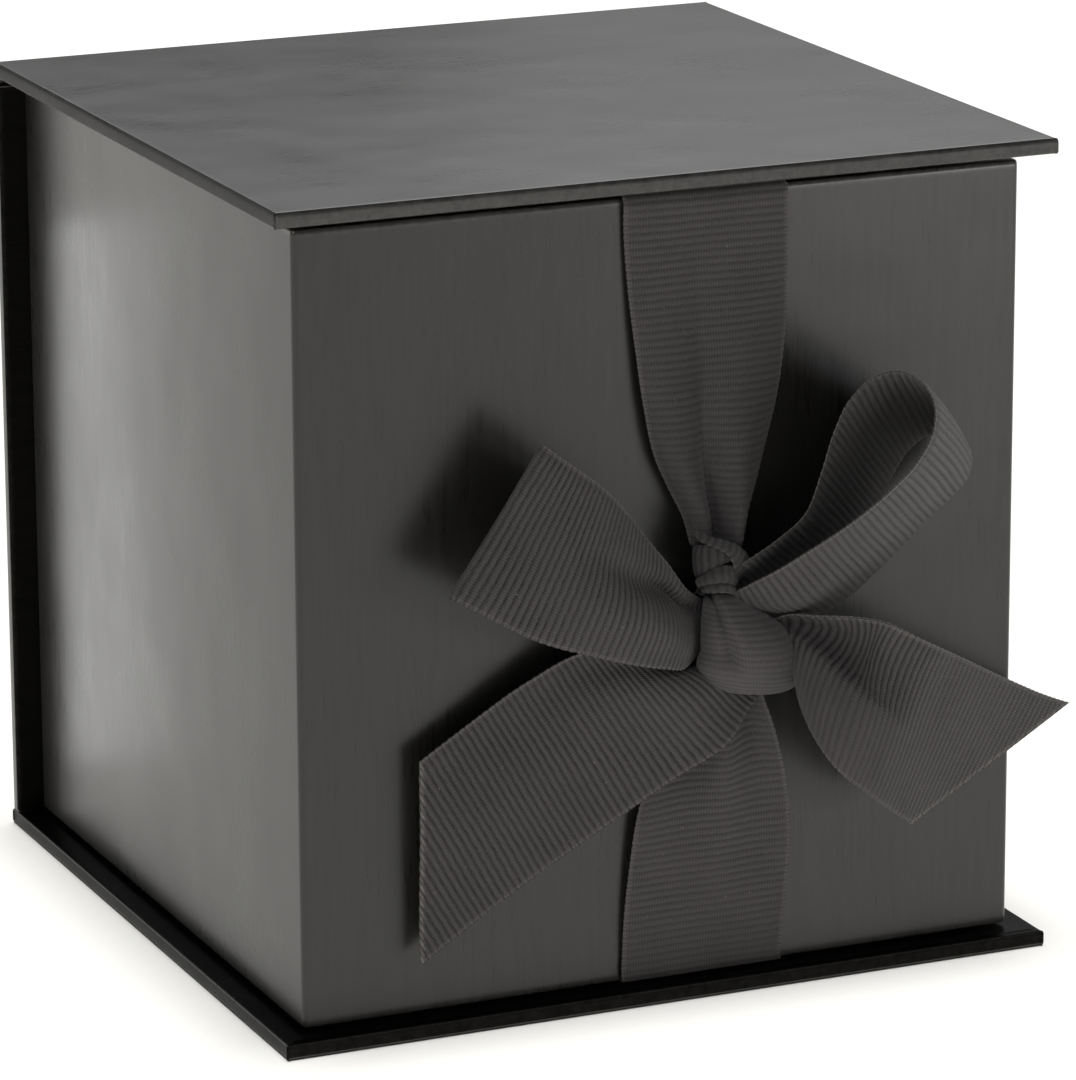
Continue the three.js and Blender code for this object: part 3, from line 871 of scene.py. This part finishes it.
def right_tail():
    """It leaves the knot in a pocket with a sharp crease, then falls back to the right."""
    stations = [
        (12.1, 7.0, 50.2, 11.5, 7.0, 55.7, 0.3, 0.72), (16.2, 8.5, 48.3, 15.3, 8.5, 57.5, 1.4, 0.70),
        (16.6, 10.5, 44.6, 18.6, 11.5, 57.7, 2.2, 0.66), (17.4, 13.5, 40.5, 22.1, 15.5, 58.2, 2.4, 0.58),
        (19.5, 16.5, 36.3, 25.8, 19.0, 57.8, 1.7, 0.53), (23.6, 17.0, 32.5, 31.7, 18.5, 54.6, 0.6, 0.5),
        (30.5, 14.0, 27.2, 40.4, 14.5, 49.7, 0.1, 0.5), (38.3, 9.5, 21.8, 49.7, 9.5, 44.3, 0, 0.5),
        (45.7, 5.5, 17.1, 58.8, 5.0, 39.3, 0, 0.5), (52.7, 2.0, 12.6, 67.1, 1.5, 35.4, 0, 0.5),
    ]

    def relief(u, run, extra):
        depth, ridge = extra
        above = np.clip((u - ridge) / (1 - ridge), 0, 1)
        below = np.clip(u / ridge, 0, 1)
        folds = 0.5 * np.sin(pi * below) - 1.5 * np.sin(pi * above) ** 0.6
        return depth * folds + 0.25 * np.sin(run / 9.0 + 2 * u)

    cloth, run = flat_cloth(stations, relief)
    # in the pocket the ribs stand higher and the painted shade in their grooves is darker
    pocket = ease(across_steps(), 0.45, 0.62) * (1 - ease(run[:, None], 20, 32))
    piece = ribbon("right_tail", cloth, run, 0.7, 0.55 + 0.95 * pocket)
    trim(piece, (34.3, 12.0, 24.9), (0.442, -0.431, -0.787))
    return piece


def left_loop():
    """It runs out along the front, turns back sharply and returns to the knot with a crease."""
    stations = [
        (4.4, 3.4, 55, 4.4, 3.4, 60, 0, 0), (-0.5, 5.0, 54.6, 0, 5.2, 62.0, 0, 0),
        (-8, 6.8, 55.6, -6.3, 6.8, 69.5, 0.5, 0), (-17, 7.6, 57.4, -12, 7.6, 76.8, 0.4, 0),
        (-27, 8.8, 61.4, -18.4, 8.8, 82.6, 0.2, 0), (-35.2, 10.9, 65.7, -22.4, 10.9, 86.0, 0, 0),
        (-37.7, 11.6, 67.1, -23.8, 11.6, 87.3, 0, 0), (-38.3, 12.3, 67.4, -24.2, 12.3, 87.7, 0, 0),
        (-38.0, 13.0, 67.2, -24.0, 13.0, 87.5, 0, 0), (-36.8, 13.4, 66.5, -23.1, 13.4, 86.8, 0, 0),
        (-33.4, 13.9, 64.4, -21.0, 13.9, 85.1, 0.1, 0), (-25.5, 13.9, 59.9, -15.8, 13.9, 81.0, 0.4, 0),
        (-16.4, 12.8, 56.4, -11.2, 12.6, 76.2, 1.2, 0.4),
        (-9.2, 11.2, 53.8, -7.4, 11.0, 71.6, 1.9, 0.9), (-4.2, 9.6, 52.3, -3.6, 9.6, 67.2, 1.7, 1.2),
        (-1.0, 8.0, 51.4, -0.6, 8.2, 63.4, 1.0, 1.1), (1.4, 6.0, 51.6, 1.6, 6.2, 61.6, 0.3, 0.5),
        (4.0, 3.8, 52.6, 4.0, 4.0, 60.0, 0, 0),
    ]

    def relief(u, run, extra):
        swell, fold = extra
        crease = hill(u, 0.62 + 0.20 * ease(run, 66, 84), 0.09)
        ripple = 0.25 * np.sin(pi * u) * np.sin(run / 8.0)
        return swell * hill(u, 0.36, 0.27) * 1.25 - fold * 1.7 * crease + ripple

    return ribbon("left_loop", *flat_cloth(stations, relief), 0.1, 1.15)


def right_loop():
    """One turn of ribbon, seen nearly end on: it leaves the knot, bends back at the top, and
    returns in front. The first edge is the rim towards the viewer."""
    stations = [
        (4.0, 8.4, 63.5, 9.1, 5.8, 59.5, 0), (8.0, 10.2, 66.6, 14.3, 5.2, 60.6, 0.3),
        (12.6, 11.2, 69.6, 21.0, 4.4, 62.4, 0.5), (16.4, 12.4, 73.4, 26.8, 4.2, 64.3, 0.4),
        (18.1, 13.8, 79.6, 30.6, 3.2, 67.4, 0.2), (19.3, 15.2, 85.6, 33.4, 2.4, 71.2, 0),
        (21.2, 16.4, 90.4, 35.7, 2.3, 75.4, 0), (24.2, 17.6, 93.5, 38.0, 2.4, 78.3, 0),
        (27.4, 18.8, 94.3, 40.9, 2.8, 79.9, 0), (30.0, 20.4, 93.0, 43.8, 3.9, 79.5, 0),
        (31.3, 22.2, 90.0, 45.8, 5.6, 77.2, 0), (30.4, 23.8, 86.6, 45.0, 6.7, 74.4, 0),
        (27.6, 24.8, 82.8, 42.0, 7.0, 71.6, 0.1), (23.8, 24.6, 79.2, 37.9, 6.7, 68.3, 0.3),
        (20.2, 23.2, 75.8, 34.2, 6.4, 64.6, 0.6), (16.8, 20.6, 72.4, 30.0, 5.9, 60.9, 0.9),
        (13.5, 17.6, 69.2, 25.8, 5.9, 58.0, 1.2), (10.6, 14.6, 66.3, 21.2, 6.1, 56.4, 1.3),
        (8.4, 12.2, 64.3, 16.9, 6.4, 56.8, 1.2), (6.8, 10.2, 62.7, 12.2, 6.6, 58.4, 0.8),
        (5.0, 7.6, 61.4, 6.9, 5.8, 60.0, 0.2),
    ]

    def relief(u, run, extra):
        return 0.8 * extra[0] * hill(u, 0.4, 0.3) + 0.5 * np.sin(pi * u)

    return ribbon("right_loop", *flat_cloth(stations, relief), 0.5, 1.1)


# the knot's upright turn: one edge (x, standoff, z), the other edge, and the crown
KNOT_TURN = [
    (3.3, 3.0, 60.6, 7.6, 3.0, 60.2, 5.4, 4.6, 61.6),
    (3.0, 5.4, 61.8, 8.0, 5.0, 61.0, 5.3, 7.4, 62.5),
    (2.0, 7.0, 61.4, 8.8, 6.6, 60.2, 5.2, 10.2, 61.6),
    (1.5, 7.6, 59.5, 11.9, 6.8, 58.2, 6.4, 11.8, 59.2),
    (1.3, 7.8, 57.1, 15.2, 6.4, 55.6, 7.9, 12.7, 56.6),
    (1.3, 7.8, 54.4, 17.3, 6.0, 52.8, 9.0, 12.8, 53.8),
    (1.7, 7.4, 52.0, 18.4, 5.4, 49.7, 9.8, 12.0, 50.8),
    (2.8, 6.4, 49.8, 18.9, 4.6, 47.2, 10.6, 10.4, 48.2),
    (4.5, 5.0, 47.9, 18.3, 3.8, 45.8, 11.2, 7.8, 46.2),
    (6.2, 3.4, 46.9, 17.3, 3.0, 45.4, 11.6, 5.0, 45.6),
    (7.2, 2.0, 47.4, 17.0, 2.0, 46.2, 12.0, 2.6, 46.4),
]
# the first knot's folds above it, for flat_cloth
KNOT_FOLDS = [
    # wrap round the neck
    [(4.4, 3.0, 64.3, 4.2, 3.0, 68.0, 0.1), (2.8, 4.8, 64.2, 2.6, 4.8, 68.6, 0.2),
     (2.1, 6.6, 64.2, 2.0, 6.4, 68.8, 0.3), (2.3, 8.2, 64.9, 2.3, 7.9, 69.1, 0.4),
     (3.4, 9.2, 65.8, 3.5, 8.8, 69.2, 0.4), (5.0, 9.4, 66.6, 5.3, 8.9, 68.8, 0.3),
     (6.7, 8.8, 66.9, 7.1, 8.4, 68.2, 0.2), (8.4, 7.2, 66.7, 8.9, 7.0, 67.7, 0.1)],
    # rolled edge over it, from the frayed tip at the left
    [(1.0, 7.4, 71.2, 1.0, 7.4, 71.7, 0.0), (1.5, 8.5, 70.2, 1.8, 8.4, 71.1, 0.1),
     (2.5, 9.3, 69.6, 3.1, 9.1, 70.5, 0.2), (3.8, 9.9, 69.0, 4.5, 9.5, 70.1, 0.3),
     (5.2, 10.2, 68.0, 6.3, 9.7, 69.4, 0.4), (6.3, 9.9, 65.9, 8.2, 9.2, 67.9, 0.4),
     (7.2, 8.6, 63.9, 9.6, 7.9, 66.1, 0.3), (8.1, 6.8, 62.6, 10.3, 6.4, 64.5, 0.2)],
    # fold that climbs under the rolled edge
    [(2.6, 6.2, 62.7, 2.3, 6.4, 63.6, 0.1), (1.9, 8.0, 63.3, 1.6, 8.0, 64.4, 0.2),
     (2.5, 9.5, 63.9, 2.6, 9.2, 65.4, 0.3), (3.9, 10.2, 64.1, 4.1, 9.9, 66.3, 0.4),
     (5.4, 10.2, 63.8, 5.7, 9.8, 66.2, 0.3), (6.8, 9.2, 63.1, 7.0, 8.8, 64.8, 0.2),
     (7.8, 7.4, 62.6, 8.0, 7.2, 63.8, 0.1)],
    # tuck between the folds and the upright turn
    [(3.2, 6.2, 61.8, 3.0, 6.2, 62.7, 0.1), (2.7, 8.2, 62.3, 2.6, 8.2, 63.3, 0.2),
     (3.5, 10.0, 62.7, 3.4, 9.9, 63.8, 0.3), (4.9, 10.4, 62.6, 4.9, 10.3, 63.7, 0.3),
     (6.6, 9.2, 61.8, 6.7, 9.1, 62.9, 0.2), (7.6, 7.4, 61.2, 7.7, 7.3, 62.2, 0.1)],
]


def knot_wraps():
    """The upright turn that holds the bow, and the folds of the first knot, as one piece."""
    def crease(angle, share):
        fade = ease(share, 0.02, 0.10) * (1 - ease(share, 0.52, 0.66))
        place = radians(-38) + radians(12) * share
        dent = hill(angle, place, radians(8))
        lip = ease(place - angle, radians(-2), radians(12))
        return fade * (1.7 * dent + 1.1 * lip)

    def puff(u, run, extra):
        return extra[0] * np.sin(pi * u) ** 0.8

    parts = [(arched_cloth(KNOT_TURN, 100, crease), 0.2, 0.4)]
    parts += [(flat_cloth(fold, puff, 12), 0.15 * k, 0.8) for k, fold in enumerate(KNOT_FOLDS)]
    points, faces, uvs, length = [], [], [], 0.0
    marks = {"ridge": [], "edge": []}
    for (cloth, run), start, height in parts:
        part_points, part_faces, part_marks, uv = ribbed(cloth, run, start, height)
        faces += [[len(points) + v for v in face] for face in part_faces]
        points += part_points.tolist()
        uvs += uv.tolist()
        length += float(run[-1])
        for key in marks:
            marks[key] += part_marks[key].tolist()
    piece = make_piece("bow_knot_wraps", points, faces, "ribbon", marks, uvs)
    piece["length_mm"] = length
    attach(piece, "root")
    return piece


def tie_bow():
    knot = ("bow_knot_wraps",)
    made = [
        (upper_band(), "hung", ("upper_ribbon",), ("tray_cover",)),
        (lower_band(), "hung", ("lower_ribbon",), ("tray_cover",)),
        (left_tail(), "hung", ("bow_left_tail",), knot),
        (right_tail(), "hung", ("bow_right_tail",), knot),
        (left_loop(), "folded", ("bow_left_loop_front", "bow_left_loop_back"), knot),
        (right_loop(), "folded", ("bow_right_loop_front", "bow_right_loop_back"), knot),
        (knot_wraps(), "folded", ("bow_knot", "bow_knot_collar"), ("upper_ribbon_band",)),
    ]
    for piece, held, nodes, rests in made:
        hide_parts(*nodes)


tie_bow()

# ---- stage ----


def lamp(name, kind, energy, color, lit, blockers=None):
    """A lamp for the pieces of `lit`, in the shadow of `blockers` or else of every piece."""
    data = bpy.data.lights.new(name, kind)
    data.energy, data.color = energy, color
    item = bpy.data.objects.new(name, data)
    bpy.context.scene.collection.objects.link(item)
    item.light_linking.receiver_collection = lit
    if blockers is not None:
        item.light_linking.blocker_collection = blockers
    return item


def floor_sun(name, energy, spread, lit, blockers):
    """Light from straight above, faintly warm."""
    sun = lamp(name, "SUN", energy, (1.0, 0.99, 0.95), lit, blockers)
    sun.data.angle = radians(spread)


def panel(name, place, target, size, energy, lit, color=(1, 1, 1), blockers=None):
    """A rectangular lamp that the camera doesn't see."""
    item = lamp(name, "AREA", energy, color, lit, blockers)
    item.data.shape = "RECTANGLE"
    item.data.size, item.data.size_y = size
    item.location = place
    item.rotation_mode = "QUATERNION"
    item.rotation_quaternion = (Vector(target) - Vector(place)).to_track_quat("-Z", "Y")
    item.visible_camera = False


def white_floor():
    """A matt white sheet just under the box."""
    mesh = bpy.data.meshes.new("studio_floor")
    reach, z = 6.0, -0.05 * MM
    mesh.from_pydata([(-reach, -reach, z), (reach, -reach, z), (reach, reach, z),
                      (-reach, reach, z)], [], [(0, 1, 2, 3)])
    paper = Nodes("studio_paper", Roughness=0.9, IOR=1.3)
    grain = paper.noise(object_mm(paper), 0.004, 1.0)
    mesh.materials.append(paper.finish(paper.mix(grain, (0.86, 0.86, 0.86), (0.9, 0.9, 0.9))))
    floor = bpy.data.objects.new("studio_floor", mesh)
    bpy.context.scene.collection.objects.link(floor)
    return floor


def white_world():
    """White where the camera sees it; as a light it is only a faint grey."""
    faint = 0.04
    world = bpy.data.worlds.new("studio")
    world.use_nodes = True
    bpy.context.scene.world = world
    tree = world.node_tree
    tree.nodes.clear()
    out, mix, path = (tree.nodes.new("ShaderNode" + kind)
                      for kind in ("OutputWorld", "MixShader", "LightPath"))
    tree.links.new(path.outputs["Is Camera Ray"], mix.inputs[0])
    tree.links.new(mix.outputs[0], out.inputs[0])
    for index, level in ((1, faint), (2, 1)):
        ground = tree.nodes.new("ShaderNodeBackground")
        ground.inputs["Color"].default_value = (level, level, level, 1)
        tree.links.new(ground.outputs[0], mix.inputs[index])


def group(name, pieces):
    """A collection for a lamp to light, or to cast the shadows in its light."""
    collection = bpy.data.collections.new(name)
    for piece in pieces:
        collection.objects.link(piece)
    return collection


def studio():
    """The floor has lamps of its own, so that it stays white; the panels leave it alone."""
    bpy.context.scene.view_settings.view_transform = "Standard"
    floor = white_floor()
    white_world()
    floor_only = group("floor_lit_only", [floor])
    cover = {name: bpy.data.objects[name + "_cover"] for name in ("base", "lid", "tray")}
    shown = [item for item in bpy.context.scene.objects if item.type == "MESH" and item is not floor]
    bow = [item for item in shown if item.data.materials[0] is MATERIAL["ribbon"]]
    linings = [frame["nodes"][node] for node in
               ("tray_wall_lining", "tray_floor_lining", "lid_lining")]
    every_piece, bow_only = group("object_lit", shown), group("ribbon_lit", bow)
    box_only = group("upright_lit", [item for item in shown
                                     if item not in bow and item != cover["base"]])
    tray_only, lid_only = group("tray_lit", [cover["tray"]]), group("lid_lit", [cover["lid"]])
    covers = group("box_shadow", [item for item in shown if item.name.endswith("_cover")])

    floor_sun("floor_light", 2.6, 12, floor_only, covers)
    floor_sun("floor_fill", 1.5, 60, floor_only, group("base_shadow", [cover["base"]]))
    middle = (0, 0, 0.06)
    panel("low_key", (0.8, -1.1, 0.06), middle, (0.5, 0.12), 2.3, box_only, (1.0, 0.97, 1.0))
    panel("bow_fill", (-0.22, -0.48, 0.44), middle, (0.25, 0.25), 0.7, bow_only)
    panel("bow_side", (-0.62, -0.38, 0.26), middle, (0.2, 0.2), 0.35, bow_only)
    panel("inside_light", (0.1, -0.5, 1.0), middle, (0.5, 0.5), 12, group("lining_lit", linings))
    panel("left_near", (-0.073, 0.085, 0.045), (-0.056, 0.045, 0.045), (0.015, 0.09), 0.0045,
          tray_only, blockers=tray_only)
    panel("front_high", (-0.5, -1.0, 0.60), middle, (0.9, 0.9), 2.2, lid_only)
    panel("right_panel", (1.2, 0.55, 0.30), middle, (0.7, 0.7), 3.8, every_piece)
    panel("left_panel", (-0.85, 1.0, 0.30), middle, (0.8, 0.8), 3.1, every_piece)
    panel("back_panel", (0.85, 1.05, 0.40), middle, (0.8, 0.8), 0.5, every_piece)
    panel("high_panel", (0.5, 1.0, 0.90), middle, (0.9, 0.9), 3.9, every_piece)


studio()
